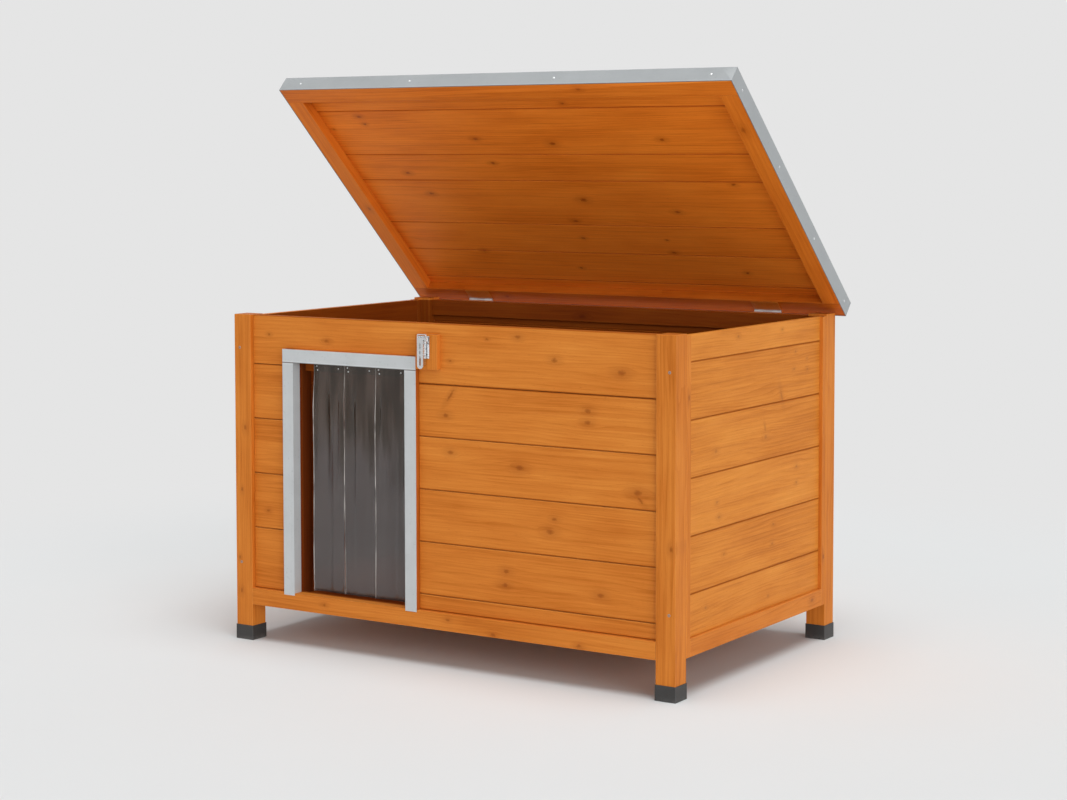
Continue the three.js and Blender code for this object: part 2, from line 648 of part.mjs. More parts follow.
function buildLatch() {
  const blockX0 = DOOR_X1 + FIT;
  const blockTop = POST_TOP - BLOCK_DROP;
  const blockBack = -Y + FRONT_RECESS - FIT;
  const blockFace = blockBack - BLOCK_THICKNESS;
  const woodBlock = block(
    [blockX0, blockFace, blockTop - BLOCK_HEIGHT],
    [blockX0 + BLOCK_WIDTH, blockBack, blockTop],
  );
  addMesh(house, 'latch_block', woodBlock, 'wood');

  const x = blockX0 + LATCH_FROM_BLOCK_LEFT;
  const plateFace = blockFace - FIT - BASE_PLATE;
  const baseTop = blockTop - BASE_TOP_DROP;
  const pinY = plateFace - LEVER_PIN_OUT;
  const pinZ = blockTop - LEVER_PIN_DROP;

  // base plate with two ears that hold the lever's pin
  const earIn = LEVER_HALF + FIT;
  const earOut = earIn + EAR_SHEET;
  const plateBack = plateFace + BASE_PLATE;
  const ear = (x0, x1) => [
    block([x + x0, pinY, pinZ - EAR_RADIUS], [x + x1, plateBack, pinZ + EAR_RADIUS]),
    rod(EAR_RADIUS, x + x0, x + x1, pinY, pinZ),
  ];
  const plate = block(
    [x - BASE_LEFT, plateFace, baseTop - BASE_HEIGHT],
    [x + BASE_RIGHT, plateBack, baseTop],
  );
  const pin = rod(LEVER_PIN_RADIUS, x - earOut, x + earOut, pinY, pinZ);
  const base = join(plate, ...ear(-earOut, -earIn), ...ear(earIn, earOut), pin);
  addMesh(house, 'latch_base', base, 'steel');

  // lever: a slotted front plate with a rounded tip, and two cheeks
  const tipZ = pinZ - LEVER_LENGTH + LEVER_HALF;
  const topZ = pinZ + LEVER_TOP;
  const front = new THREE.Shape();
  front.moveTo(x - LEVER_HALF, topZ);
  front.lineTo(x - LEVER_HALF, tipZ);
  front.absarc(x, tipZ, LEVER_HALF, Math.PI, 2 * Math.PI, false);
  front.lineTo(x + LEVER_HALF, topZ);
  const slotRadius = LEVER_SLOT / 2;
  for (const [low, high] of LEVER_SLOTS) {
    const lowCentre = tipZ + low + slotRadius;
    const highCentre = tipZ + high - slotRadius;
    const slot = new THREE.Path();
    slot.moveTo(x - slotRadius, lowCentre);
    slot.absarc(x, lowCentre, slotRadius, Math.PI, 2 * Math.PI, false);
    slot.lineTo(x + slotRadius, highCentre);
    slot.absarc(x, highCentre, slotRadius, 0, Math.PI, false);
    slot.lineTo(x - slotRadius, lowCentre);
    front.holes.push(slot);
  }
  const frontInner = pinY - LEVER_DEPTH / 2;
  const frontOuter = frontInner - LEVER_SHEET;
  const cheekFront = frontInner - LEVER_SHEET / 2;
  const cheekBack = pinY + LEVER_BACK;
  const cheek = (x0, x1) => block([x + x0, cheekFront, tipZ], [x + x1, cheekBack, topZ]);
  const leverBody = join(
    alongY(front, frontOuter, frontInner, 8),
    cheek(-LEVER_HALF, -LEVER_HALF + LEVER_SHEET),
    cheek(LEVER_HALF - LEVER_SHEET, LEVER_HALF),
  );
  const loopZ = pinZ - LOOP_BELOW_PIN;
  const hole = (radius, z) => rod(radius + FIT, x - 2 * LEVER_HALF, x + 2 * LEVER_HALF, pinY, z);
  const lever = cut(leverBody, hole(LEVER_PIN_RADIUS, pinZ), hole(LOOP_WIRE, loopZ));
  addMesh(house, 'latch_lever', lever, 'steel');

  // wire loop: its tips turn in through the cheeks, its legs pass outside the ears
  const legX = earOut + FIT + LOOP_WIRE;
  const tipX = LEVER_HALF - LEVER_SHEET;
  const topOfLoop = loopZ + LOOP_HEIGHT;
  const at = (dx, z) => new THREE.Vector3(x + dx, pinY, z);
  const path = new THREE.CurvePath();
  const corner = (from, through, to) => path.add(new THREE.QuadraticBezierCurve3(from, through, to));
  path.add(new THREE.LineCurve3(at(-tipX, loopZ), at(-legX + LOOP_BEND / 2, loopZ)));
  corner(at(-legX + LOOP_BEND / 2, loopZ), at(-legX, loopZ), at(-legX, loopZ + LOOP_BEND / 2));
  path.add(new THREE.LineCurve3(at(-legX, loopZ + LOOP_BEND / 2), at(-legX, topOfLoop - LOOP_BEND)));
  corner(at(-legX, topOfLoop - LOOP_BEND), at(-legX, topOfLoop), at(-legX + LOOP_BEND, topOfLoop));
  path.add(new THREE.LineCurve3(at(-legX + LOOP_BEND, topOfLoop), at(legX - LOOP_BEND, topOfLoop)));
  corner(at(legX - LOOP_BEND, topOfLoop), at(legX, topOfLoop), at(legX, topOfLoop - LOOP_BEND));
  path.add(new THREE.LineCurve3(at(legX, topOfLoop - LOOP_BEND), at(legX, loopZ + LOOP_BEND / 2)));
  corner(at(legX, loopZ + LOOP_BEND / 2), at(legX, loopZ), at(legX - LOOP_BEND / 2, loopZ));
  path.add(new THREE.LineCurve3(at(legX - LOOP_BEND / 2, loopZ), at(tipX, loopZ)));
  const wire = new THREE.Shape();
  wire.absarc(0, 0, LOOP_WIRE, 0, 2 * Math.PI, false);
  const options = { extrudePath: path, steps: 60, curveSegments: 4, bevelEnabled: false };
  addMesh(house, 'latch_loop', new THREE.ExtrudeGeometry(wire, options), 'steel');
}

// ---- assembly -----------------------------------------------------------------------------------

buildLegs();
buildBase();
buildFrontWall();
buildSideAndRearWalls();
const door = buildDoor();
buildCurtain(door);
buildRoof();
buildHinges();
buildLatch();

// the roof swings up about the hinge pins
const roofPivot = new THREE.Group();
roofPivot.position.set(0, HINGE_Y, HINGE_Z);
roofPivot.rotation.x = -THREE.MathUtils.degToRad(ROOF_OPEN_DEGREES);
roof.position.set(0, -HINGE_Y, -HINGE_Z);
roofPivot.add(roof);
house.add(roofPivot);

// the origin is the middle of the bottom of the open house's bounding box
const dogHouse = new THREE.Group();
dogHouse.add(house);
const bounds = new THREE.Box3().setFromObject(dogHouse, true);
const middle = bounds.getCenter(new THREE.Vector3());
house.position.set(-middle.x, -middle.y, -bounds.min.z);

export default dogHouse;
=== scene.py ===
"""The looks of the dog house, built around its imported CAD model.
Metres, in the model's own frame: X runs along the front, -Y is the front and +Z is up.
Textures, and the places of small fittings, are laid out in millimetres."""

import math
import random

import bmesh
import bpy
from mathutils import Matrix, Vector


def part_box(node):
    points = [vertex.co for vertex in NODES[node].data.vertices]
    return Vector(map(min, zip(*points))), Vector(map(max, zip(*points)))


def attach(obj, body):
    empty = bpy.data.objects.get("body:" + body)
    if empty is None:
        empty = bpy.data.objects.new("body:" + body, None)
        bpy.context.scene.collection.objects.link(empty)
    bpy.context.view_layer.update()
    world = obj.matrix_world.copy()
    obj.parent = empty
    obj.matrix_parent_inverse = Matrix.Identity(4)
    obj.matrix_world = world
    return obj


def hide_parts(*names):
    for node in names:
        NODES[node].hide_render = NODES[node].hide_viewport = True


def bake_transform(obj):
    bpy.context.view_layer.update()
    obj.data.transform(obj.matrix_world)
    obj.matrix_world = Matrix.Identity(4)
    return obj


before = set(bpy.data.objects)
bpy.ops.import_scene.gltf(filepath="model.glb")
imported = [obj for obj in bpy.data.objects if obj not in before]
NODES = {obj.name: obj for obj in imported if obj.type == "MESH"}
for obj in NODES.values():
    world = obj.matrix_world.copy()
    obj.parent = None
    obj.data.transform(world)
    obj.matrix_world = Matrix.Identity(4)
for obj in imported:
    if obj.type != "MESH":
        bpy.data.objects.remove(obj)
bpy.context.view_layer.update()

SCENE = bpy.context.scene
MM = 0.001

# The roof stands open, turned about the hinge line. Its textures and fittings are laid out as if it were shut.
HINGE = Vector((0, 0.317978, 0.64775))
OPEN = math.radians(42.5)
ROOF_OPEN = Matrix.Translation(HINGE) @ Matrix.Rotation(-OPEN, 4, "X") @ Matrix.Translation(-HINGE)
ROOF_SHUT = ROOF_OPEN.inverted()

ENDS, SIDES = ("front", "rear"), ("left", "right")


# ---- node trees -----------------------------------------------------------------------------------

class Tree:
    """Short calls that add shader nodes. An input is a socket to link, or a value. A colour is three numbers."""

    def __init__(self, tree):
        self.tree = tree

    def feed(self, node, inputs):
        """Links or sets inputs of a node."""
        for key, value in inputs.items():
            socket = node.inputs[key]
            if isinstance(value, bpy.types.NodeSocket):
                self.tree.links.new(value, socket)
            else:
                socket.default_value = (*value, 1) if socket.type == "RGBA" else value

    def node(self, kind, inputs=None, **settings):
        made = self.tree.nodes.new(kind if kind.startswith("NodeGroup") else "ShaderNode" + kind)
        for key, value in settings.items():
            setattr(made, key, value)
        self.feed(made, inputs or {})
        return made

    def math(self, operation, a, b=0.0, c=0.0, clamp=False):
        return self.node("Math", {0: a, 1: b, 2: c}, operation=operation, use_clamp=clamp).outputs[0]

    def vector(self, operation, a, b=(0, 0, 0)):
        made = self.node("VectorMath", {0: a, 1: b}, operation=operation)
        return made.outputs["Value" if operation in ("LENGTH", "DOT_PRODUCT") else "Vector"]

    def combine(self, x=0.0, y=0.0, z=0.0):
        return self.node("CombineXYZ", {0: x, 1: y, 2: z}).outputs[0]

    def split(self, vector):
        return self.node("SeparateXYZ", {0: vector}).outputs

    def step(self, value, low, high, to_low=0.0, to_high=1.0):
        """A smooth step of value from low to high."""
        inputs = {0: value, 1: low, 2: high, 3: to_low, 4: to_high}
        return self.node("MapRange", inputs, interpolation_type="SMOOTHSTEP").outputs[0]

    def spread(self, value, size):
        """A noise of 0 to 1 as plus and minus half of size."""
        return self.math("MULTIPLY_ADD", value, size, -size / 2)

    def noise(self, vector, detail=2.0, roughness=0.5, scale=1.0):
        inputs = {"Vector": vector, "Scale": scale, "Detail": detail, "Roughness": roughness}
        return self.node("TexNoise", inputs).outputs[0]

    def mix(self, factor, a, b, blend="MIX"):
        return self.node("Mix", {0: factor, 6: a, 7: b}, data_type="RGBA", blend_type=blend).outputs[2]

    def ramp(self, value, stops):
        made = self.node("ValToRGB", {0: value})
        points = made.color_ramp.elements
        while len(points) < len(stops):
            points.new(0.5)
        for point, (place, colour) in zip(points, stops):
            point.position, point.color = place, (*colour, 1)
        return made.outputs[0]

    def bump(self, height, distance, strength=1.0):
        """Distance is in metres."""
        return self.node("Bump", {"Strength": strength, "Distance": distance, "Height": height}).outputs[0]


def new_material(name, **constants):
    """A material, its tree and its Principled shader, with constants set on the shader's own sockets."""
    material = bpy.data.materials.new(name)
    material.use_nodes = True
    shader = material.node_tree.nodes["Principled BSDF"]
    for key, value in constants.items():
        shader.inputs[key.replace("_", " ")].default_value = value
    return material, Tree(material.node_tree), shader


def new_group(name, inputs, outputs):
    group = bpy.data.node_groups.new(name, "ShaderNodeTree")
    for sockets, direction in ((inputs, "INPUT"), (outputs, "OUTPUT")):
        for key, kind in sockets.items():
            group.interface.new_socket(name=key, in_out=direction, socket_type="NodeSocket" + kind)
    tree = Tree(group)
    return group, tree, tree.node("NodeGroupInput").outputs, tree.node("NodeGroupOutput")


def place_in_mm(t, shut=False):
    """The point in millimetres, its three parts, and the size of each part of the normal, with the roof laid shut."""
    coordinates = t.node("TexCoord").outputs
    turn = (OPEN if shut else 0.0, 0, 0)
    shift = (HINGE - Matrix.Rotation(OPEN, 3, "X") @ HINGE) / MM if shut else Vector((0, 0, 0))
    inputs = {"Vector": coordinates["Object"], "Location": shift, "Rotation": turn, "Scale": (1 / MM,) * 3}
    point = t.node("Mapping", inputs).outputs[0]
    inputs = {"Vector": coordinates["Normal"], "Rotation": turn}
    normal = t.node("Mapping", inputs, vector_type="NORMAL").outputs[0]
    return point, t.split(point), t.split(t.vector("ABSOLUTE", normal))


def worn_edge(t, normal):
    """1 on the narrow slanting faces along edges, 0 on the flat faces."""
    most = t.math("MAXIMUM", t.math("MAXIMUM", normal[0], normal[1]), normal[2])
    return t.step(most, 0.98, 0.88)


def tone(colour, factor):
    """A colour made lighter or darker."""
    return tuple(min(1, c * factor) for c in colour)


# ---- wood -----------------------------------------------------------------------------------------

RING = 4.4  # mm between year rings, before the figure stretches them
WOOD_TONES = (
    (0.0, (0.390, 0.090, 0.006)), (0.32, (0.530, 0.147, 0.014)), (0.5, (0.612, 0.186, 0.023)),
    (0.72, (0.680, 0.228, 0.033)), (1.0, (0.760, 0.292, 0.052)),
)
KNOT_TONE = (0.250, 0.050, 0.002)
GROOVE_TONE = (0.300, 0.058, 0.001)
END_TONE = (0.330, 0.080, 0.008)
FLECK_TONE = (0.36, 0.085, 0.008)
WORN_TONE = (0.800, 0.350, 0.085)
INSIDE_PAINTED_SHADE = (0.40, 0.27, 0.10)  # how much of its colour the wood keeps inside the house: painted shade for the dim room
ROOF_PAINTED_LIGHT = (1.32, 1.06, 0.68)  # and how it is lifted in the roof: painted light, brighter and redder, on the shaded underside
# The room inside the house in mm. Its top is a little below the tops of the walls.
ROOM_HALF, ROOM_FRONT, ROOM_BACK, ROOM_LOW, ROOM_TOP = 481.6, -313.6, 293.8, 99.0, 645.2
JOINT_EDGE, JOINT_MIDDLE = 2.6, 0.9  # mm from the middle of a joint, where its shade begins and is full
NO_JOINT = 99.0  # mm, too far from any joint for its shade


def make_knot_group():
    """One knot: darkens the wood in it and round it, and pushes the rings aside."""
    inputs = dict.fromkeys(("Along", "Across", "Ragged", "Centre", "Radius", "Slim", "Turn", "Push", "Dark"), "Float")
    inputs["Centre"] = "Vector"
    group, t, given, result = new_group("knot", inputs, dict.fromkeys(("Push", "Dark", "Along"), "Float"))
    away = t.vector("SUBTRACT", t.combine(given["Along"], given["Across"]), given["Centre"])
    turned = t.node("VectorRotate", {"Vector": away, "Angle": given["Turn"]}, rotation_type="Z_AXIS").outputs[0]
    distance = t.vector("LENGTH", t.vector("MULTIPLY", turned, t.combine(given["Slim"], 1.0)))
    distance = t.math("ADD", distance, given["Ragged"])
    radius = given["Radius"]
    core = t.step(distance, t.math("MULTIPLY", radius, 1.5), t.math("MULTIPLY", radius, 0.2))
    halo = t.step(distance, t.math("MULTIPLY", radius, 3.8), t.math("MULTIPLY", radius, 0.6), 0.0, 0.34)
    dark = t.math("MAXIMUM", t.math("MAXIMUM", core, halo), given["Dark"])
    # rings pass a knot as a stream passes a pile
    squeezed = t.vector("MULTIPLY", away, (0.38, 1, 0))
    near = t.math("POWER", t.math("MULTIPLY", radius, 1.5), 2.0)
    far = t.math("MAXIMUM", t.vector("DOT_PRODUCT", squeezed, squeezed), near)
    aside = t.math("MULTIPLY", t.split(away)[1], t.math("DIVIDE", near, far))
    # a shift far too small to see makes each knot wait for the one before, so that many fit in one shader
    passed_on = t.math("MULTIPLY_ADD", dark, 1e-5, given["Along"])
    t.feed(result, {"Push": t.math("SUBTRACT", given["Push"], aside), "Dark": dark, "Along": passed_on})
    return group


def make_wood_group():
    """Stained softwood: year rings, fibre, streaks, blotches, flecks, and where it is darker or worn, with painted
    shade inside the house and painted light in the roof.
    Inside is 1 inside the house, 0 outside and -1 in the roof."""
    names = ("Along", "Across", "Depth", "Push", "Knot", "Seed", "Groove", "Worn", "End", "Inside")
    outputs = {"Color": "Color", "Roughness": "Float", "Height": "Float"}
    group, t, given, result = new_group("stained softwood", dict.fromkeys(names, "Float"), outputs)
    seed = given["Seed"]
    along = t.math("MULTIPLY_ADD", seed, 131.0, given["Along"])
    across = t.math("MULTIPLY_ADD", seed, 37.0, given["Across"])
    depth = t.math("MULTIPLY_ADD", seed, 61.0, given["Depth"])

    def figure(length, width, detail=2.0, roughness=0.5):
        """Noise drawn out along the grain, with patches of that length and width in millimetres."""
        stretched = t.vector("MULTIPLY", t.combine(along, across, depth), (1 / length, 1 / width, 1 / width))
        return t.noise(stretched, detail, roughness)

    slow = t.spread(figure(560, 66, 1.5), 38.0)
    wobble = t.spread(figure(80, 9), 1.8)
    face = t.math("ADD", t.math("MULTIPLY_ADD", given["Depth"], 0.4, given["Across"]), given["Push"])
    rings = t.math("ADD", t.math("MULTIPLY_ADD", face, 0.62, slow), wobble)
    late = t.math("POWER", t.math("FRACT", t.math("DIVIDE", rings, RING)), 2.2)
    late = t.math("MULTIPLY", late, t.step(figure(300, 22), 0.3, 0.72, 0.35, 1.0))
    fibre, streak, blotch = figure(48, 0.9, 3.0, 0.6), figure(300, 6.5, 3.0, 0.6), figure(170, 48, 3.0)
    value = t.math("ADD", t.spread(streak, 0.70), t.spread(fibre, 0.46))
    value = t.math("ADD", value, t.spread(blotch, 0.60))
    value = t.math("ADD", value, t.math("MULTIPLY_ADD", late, -0.18, 0.545))
    number = t.math("FLOOR", t.math("MULTIPLY", seed, 10.0))
    board = t.node("TexWhiteNoise", {"W": number}, noise_dimensions="1D").outputs[0]
    value = t.math("ADD", value, t.spread(board, 0.16), clamp=True)
    colour = t.ramp(value, WOOD_TONES)
    colour = t.mix(t.step(figure(11, 0.8, 1.0), 0.66, 0.78, 0.0, 0.4), colour, FLECK_TONE)
    for key, share, shade in (("Knot", 0.68, KNOT_TONE), ("Groove", 0.70, GROOVE_TONE),
                              ("End", 0.55, END_TONE), ("Worn", 0.42, WORN_TONE)):
        colour = t.mix(t.math("MULTIPLY", given[key], share, clamp=True), colour, shade)
    # painted shade: wood inside the house is drawn darker, as the room lies in shade
    inside = t.math("MAXIMUM", given["Inside"], 0.0)
    colour = t.mix(inside, colour, INSIDE_PAINTED_SHADE, "MULTIPLY")
    # painted light: the roof's shaded underside is drawn brighter and redder
    colour = t.mix(t.math("MULTIPLY", given["Inside"], -1.0, clamp=True), colour, ROOF_PAINTED_LIGHT, "MULTIPLY")
    roughness = t.math("ADD", t.math("ADD", t.spread(streak, 0.20), 0.50), t.math("MULTIPLY", late, 0.05))
    for source, change in ((given["Knot"], -0.10), (given["Groove"], 0.12), (inside, 0.22)):
        roughness = t.math("MULTIPLY_ADD", source, change, roughness)
    height = t.math("MULTIPLY_ADD", streak, 0.8, fibre)
    t.feed(result, {"Color": colour, "Roughness": roughness, "Height": height})
    return group


KNOT = make_knot_group()
WOOD = make_wood_group()


def inside_the_house(t, point):
    """1 on what lies inside the house, 0 on its outside."""
    within = t.math("SUBTRACT", ROOM_HALF, t.math("ABSOLUTE", point[0]))
    for axis, low, high in ((1, ROOM_FRONT, ROOM_BACK), (2, ROOM_LOW, ROOM_TOP)):
        for room in (t.math("SUBTRACT", point[axis], low), t.math("SUBTRACT", high, point[axis])):
            within = t.math("MINIMUM", within, room)
    return t.step(within, -0.4, 0.4)


def wood(name, axes, joints=(), stiles=None, knots=(), shut=False, seed=0.0, tint_and_painted_light=None, knot_strength=1.0):
    """Material of one wooden part. axes names the directions along the grain, across it and into it.
    joints are the heights across the grain where its boards meet. Outside stiles the grain stands up."""
    material, t, shader = new_material(name, Specular_IOR_Level=0.13)
    _, point, normal = place_in_mm(t, shut)
    order = ["XYZ".index(a) for a in axes]
    along, across, depth = (point[i] for i in order)
    board, gap = 0.0, NO_JOINT
    for joint in joints:
        board = t.math("ADD", board, t.math("GREATER_THAN", across, joint))
        gap = t.math("MINIMUM", gap, t.math("ABSOLUTE", t.math("SUBTRACT", across, joint)))
    if stiles:
        upright = t.math("ADD", t.math("LESS_THAN", along, stiles[0]), t.math("GREATER_THAN", along, stiles[1]))
        along, across = (t.node("Mix", {0: upright, 2: a, 3: b}, data_type="FLOAT").outputs[0]
                         for a, b in ((along, across), (across, along)))
        board = t.math("MULTIPLY_ADD", upright, 8.0, board)
        gap = t.math("MULTIPLY_ADD", upright, NO_JOINT, gap)
    groove = t.step(gap, JOINT_EDGE, JOINT_MIDDLE) if joints else 0.0
    ragged = 0.0
    if knots:
        ragged = t.vector("MULTIPLY", t.combine(along, across), (0.15, 0.26, 0))
        ragged = t.spread(t.noise(ragged, 3.0, 0.6), 6.5)
    push, dark, place = 0.0, 0.0, along
    for u, v, radius, slim, turn in knots:
        knot = t.node("Group", {
            "Along": place, "Across": across, "Ragged": ragged, "Centre": (u, v, 0), "Radius": radius,
            "Slim": slim, "Turn": turn, "Push": push, "Dark": dark,
        }, node_tree=KNOT).outputs
        push, dark, place = knot["Push"], knot["Dark"], knot["Along"]
    figure = t.node("Group", {
        "Along": along, "Across": across, "Depth": depth, "Push": push, "Groove": groove,
        "Knot": t.math("MULTIPLY", dark, knot_strength),
        "Worn": t.math("MULTIPLY", worn_edge(t, normal), t.math("SUBTRACT", 1.0, groove)),
        "Seed": t.math("MULTIPLY_ADD", board, 3.1, seed),
        "End": t.step(normal[order[0]], 0.8, 0.95),
        "Inside": -1.0 if shut else inside_the_house(t, point),
    }, node_tree=WOOD).outputs
    # some parts are tinted: painted shade in the door's recess and on the roof's rear rail, painted light on the
    # right wall
    colour = t.mix(1.0, figure["Color"], tint_and_painted_light, "MULTIPLY") if tint_and_painted_light else figure["Color"]
    relief = t.bump(figure["Height"], 0.00022, 0.8)
    t.feed(shader, {"Base Color": colour, "Roughness": figure["Roughness"], "Normal": relief})
    return material


# Knots in millimetres: along the grain, across it, radius. A streak also has how slim it is and its turn.
FRONT_KNOTS = [
    (164, 632, 4), (243, 593, 4.5), (384, 577, 6), (13, 580, 2.5), (14, 516, 3, 0.22, -0.95), (3, 478, 4.5),
    (314, 505, 5), (313, 484, 4.5), (14, 409, 4.5), (168, 391, 6), (417, 365, 6.5), (423, 352, 3, 0.3, 0.8),
    (243, 303, 3.6), (234, 279, 5.6), (138, 197, 4.6), (135, 171, 4.6), (341, 173, 5.2), (-277, 605, 4),
    (96, 625, 2), (-420, 612, 2.6), (-425, 262, 3),
]
SIDE_KNOTS = [
    (-87, 631, 3.2), (94, 631, 2.6), (152, 585, 2.4), (204, 547, 2.8), (145, 552, 2.4), (202, 568, 2.2),
    (92, 506, 4, 0.3, 1.2), (26, 433, 4.4), (23, 452, 2.4, 0.4, 1.3), (-173, 428, 4), (159, 362, 3.6),
    (159, 330, 3), (-264, 438, 2), (-168, 334, 3), (-160, 306, 3.6), (60, 262, 2.6), (56, 226, 3.4),
    (-140, 236, 3), (-210, 148, 2.4), (40, 128, 2.2),
]
ROOF_KNOTS = [
    (-383, -240, 4), (-380, -218, 3), (-130, -172, 4), (45, -157, 5), (-123, -101, 3.6), (-351, -70, 4),
    (-324, -6, 4), (-283, 177, 3.6), (-468, -204, 2), (119, -270, 3), (295, -167, 4), (42, 9, 5.6), (-7, 75, 4),
    (244, 42, 4), (-12, 128, 3), (185, 129, 2), (185, 168, 3.6), (330, 226, 3), (-60, 226, 2.6), (400, -40, 3.4),
]
LEFT_POST_KNOTS = [(425, -475, 3.6), (300, -484, 3), (164, -491, 2.6), (98, -487, 3.2)]
FRONT_RAIL_KNOTS = [(115, 77, 4), (301, 79, 3.6), (13, 93, 3), (-280, 90, 3)]
ROUND_SLIM, ROUND_TURN = 0.60, 0.0  # of a knot that isn't a streak
AREA_OF_A_KNOT = 34000  # square mm of wood for each knot that is placed by chance

# Heights in mm where the boards of a wall meet, and places along Y where those of the roof do
WALL_JOINTS = (182, 286, 390, 494, 598)
ROOF_JOINTS = (-256.8, -125.8, -47.8, 87.2, 176.2, 268.2)
LEFT_STILES = (-279.7, 260.1)  # Y in mm of the stiles' inner edges on the left wall

# How the colour of some parts differs from the rest: painted shade darkens the door stiles and inner jambs in the
# door's recess and the roof's rear rail by the hinges, the other roof rails are a little darker, and painted light
# makes the right wall, which faces the light, paler.
PAINTED_LIGHT_AND_TINTS = {
    "door_stile": (0.72, 0.60, 0.50),
    "inner_jamb": (0.42, 0.36, 0.30),
    "roof_rail": (0.84, 0.82, 0.80),
    "roof_rail_front": (0.90, 0.90, 0.90),
    "roof_rail_rear": (0.66, 0.60, 0.50),
    "right_wall_boards": (1.05, 1.17, 1.22),
}


def extent(node, axes, shut):
    """Lowest and highest place of a part along and across its grain, in millimetres."""
    points = [(ROOF_SHUT @ v.co if shut else v.co) / MM for v in NODES[node].data.vertices]
    return [(min(p[i] for p in points), max(p[i] for p in points)) for i in ("XYZ".index(a) for a in axes[:2])]


def scattered(node, reach):
    """Knots of a part whose faces the photograph doesn't show, the same ones each run."""
    draw = random.Random("knots of " + node)
    (a0, a1), (b0, b1) = reach
    count = max(1, round((a1 - a0) * (b1 - b0) / AREA_OF_A_KNOT))
    return [(draw.uniform(a0 + 8, a1 - 8), draw.uniform(b0 + 6, b1 - 6), draw.uniform(2.4, 5.6))
            for _ in range(count)]


def dress_in_wood(node, axes, joints=(), stiles=None, knots=None, shut=False, tint_and_painted_light=None, knot_strength=1.0):
    reach = extent(node, axes, shut)
    if knots is None:
        found = scattered(node, reach)
    else:
        found = [k for k in knots if all(low - 6 < k[i] < high + 6 for i, (low, high) in enumerate(reach))]
    full = [(*k, ROUND_SLIM, ROUND_TURN) if len(k) == 3 else k for k in found]
    seed = random.Random("wood of " + node).uniform(0, 40)
    material = wood("wood_" + node, axes, joints, stiles, full, shut, seed, tint_and_painted_light, knot_strength)
    NODES[node].material_slots[0].material = material


def soften_edges(node, width):
    """Breaks the sharp edges of a part."""
    weld = NODES[node].modifiers.new("weld", "WELD")
    weld.merge_threshold = 1e-5
    bevel = NODES[node].modifiers.new("broken edges", "BEVEL")
    bevel.width, bevel.segments = width, 2
    bevel.limit_method, bevel.angle_limit = "ANGLE", math.radians(40)
    bevel.harden_normals = True


for end in ENDS:
    for side in SIDES:
        seen = LEFT_POST_KNOTS if (end, side) == ("front", "left") else None
        dress_in_wood(f"leg_{end}_{side}", "ZXY", knots=seen)
    dress_in_wood(f"{end}_bottom_rail", "XZY", knots=FRONT_RAIL_KNOTS if end == "front" else None)
    dress_in_wood(f"right_stile_{end}", "ZYX")
    dress_in_wood(f"roof_rail_{end}", "XYZ", shut=True, tint_and_painted_light=PAINTED_LIGHT_AND_TINTS[f"roof_rail_{end}"])
for side in SIDES:
    dress_in_wood(f"{side}_bottom_rail", "YZX")
    dress_in_wood(f"door_stile_{side}", "ZXY", tint_and_painted_light=PAINTED_LIGHT_AND_TINTS["door_stile"])
    dress_in_wood(f"inner_jamb_{side}", "ZYX", tint_and_painted_light=PAINTED_LIGHT_AND_TINTS["inner_jamb"])
    dress_in_wood(f"roof_rail_{side}", "YXZ", shut=True, tint_and_painted_light=PAINTED_LIGHT_AND_TINTS["roof_rail"])
LEFT_BOARDS = [f"front_left_board_{n}" for n in range(1, 5)]
RIGHT_BOARDS = [f"front_right_board_{n}" for n in range(1, 6)]
for node in ["front_top_board"] + LEFT_BOARDS + RIGHT_BOARDS:
    low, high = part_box(node)
    dress_in_wood(node, "XZY", joints=(low.z / MM, high.z / MM), knots=FRONT_KNOTS)
dress_in_wood("right_wall_boards", "YZX", joints=WALL_JOINTS, knots=SIDE_KNOTS,
              tint_and_painted_light=PAINTED_LIGHT_AND_TINTS["right_wall_boards"], knot_strength=0.68)
dress_in_wood("left_wall_panel", "YZX", joints=WALL_JOINTS, stiles=LEFT_STILES)
dress_in_wood("rear_wall_boards", "XZY", joints=WALL_JOINTS)
for node in ("rear_top_rail", "door_head_rail", "curtain_batten"):
    dress_in_wood(node, "XZY")
dress_in_wood("latch_block", "ZXY", knots=[])
dress_in_wood("floor_panel", "XYZ")
dress_in_wood("roof_boards", "XYZ", joints=ROOF_JOINTS, knots=ROOF_KNOTS, shut=True, knot_strength=1.35)
for node, part in NODES.items():
    if part.material_slots[0].material.name.startswith("wood_"):
        soften_edges(node, 0.0007)


# ---- metal, plastic, felt -------------------------------------------------------------------------

# colour of the painted shadow line in a seam
SEAM_PAINTED_SHADOW = (0.10, 0.09, 0.08)
STAIN_FILM = ((0.44, 0.115, 0.010), (0.60, 0.175, 0.018))
# mm in front of the hinge line, where a leaf's bare knuckles end and its painted plate begins
LEAF_KNUCKLES, LEAF_PLATE = 3.0, 3.8


